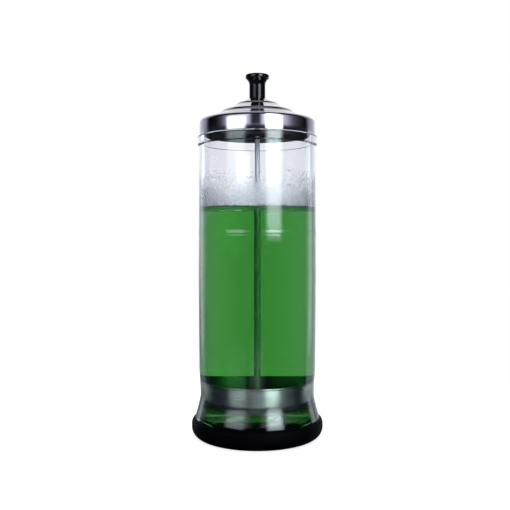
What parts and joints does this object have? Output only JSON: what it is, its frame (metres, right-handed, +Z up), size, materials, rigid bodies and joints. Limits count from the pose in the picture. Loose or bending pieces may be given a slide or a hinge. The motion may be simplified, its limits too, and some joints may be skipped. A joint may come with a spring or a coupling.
{
  "type": "disinfectant jar",
  "caption": "Tall cylindrical glass salon jar on a black rubber foot, with a stepped steel lid whose knob and rod lift a shallow tool tray out of the liquid.",
  "frame": {"origin": "centre of the underside of the rubber foot, on the table", "axes": "+Z up along the jar's axis of revolution; the lid lifts along +Z"},
  "size_m": [0.1052, 0.1052, 0.2911],
  "materials": {
    "base_rubber": "satin black moulded rubber",
    "clear_glass": "clear pressed glass",
    "spun_steel": "polished spun stainless steel",
    "seal_rubber": "matt black",
    "knob_black": "glossy black moulding",
    "insert_brass": "turned brass",
    "rod_steel": "bright drawn stainless rod",
    "tray_steel": "brushed stainless sheet",
    "fastener_steel": "bright stainless"
  },
  "bodies": {
    "jar": {"glass_jar": "clear_glass", "rubber_base": "base_rubber"},
    "lid": {"lid_shell": "spun_steel", "lid_seal": "seal_rubber"},
    "lift": {"knob": "knob_black", "knob_insert": "insert_brass", "lift_rod": "rod_steel", "stem_washer": "fastener_steel", "stem_nut": "fastener_steel", "tray": "tray_steel", "tray_upper_washer": "fastener_steel", "tray_nut": "fastener_steel", "tray_lower_washer": "fastener_steel", "tray_cap_nut": "fastener_steel"}
  },
  "joints": [
    {"name": "lid_lift", "type": "slide", "parent": "jar", "child": "lid", "axis": [0, 0, 1], "range_m": [0, 0.24]},
    {"name": "lift_turn", "type": "hinge", "parent": "lid", "child": "lift", "pos_m": [0, 0, 0.2704], "axis": [0, 0, 1], "continuous": true}
  ]
}
